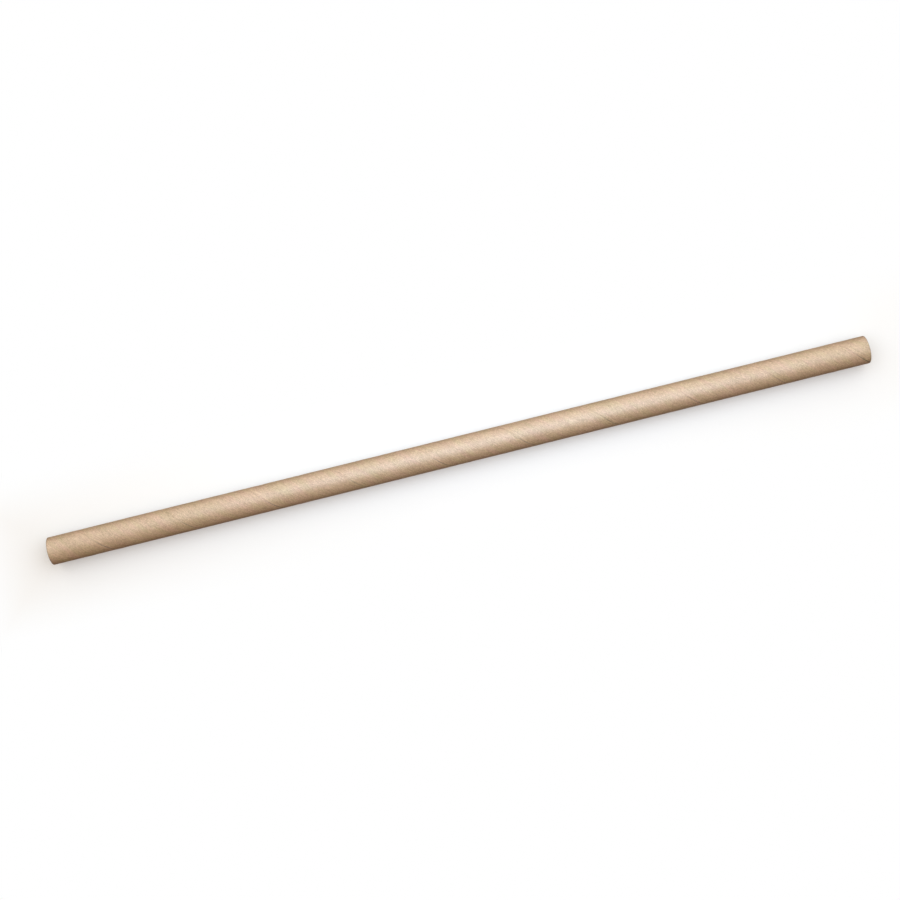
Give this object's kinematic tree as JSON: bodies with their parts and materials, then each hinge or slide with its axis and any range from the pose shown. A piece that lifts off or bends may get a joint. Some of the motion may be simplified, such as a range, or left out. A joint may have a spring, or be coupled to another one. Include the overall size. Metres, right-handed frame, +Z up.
{
  "type": "paper drinking straw",
  "caption": "Straight paper drinking straw: a thin tube wound in a spiral from natural kraft paper, with a fine butt seam and square-cut open ends.",
  "frame": {"origin": "on the surface the straw lies on, under the middle of its length", "axes": "+X along the straw's bore, +Z up"},
  "size_m": [0.197, 0.0066, 0.0066],
  "materials": {
    "kraft_paper": "satin"
  },
  "bodies": {
    "root": {"straw_tube": "kraft_paper"}
  },
  "joints": []
}
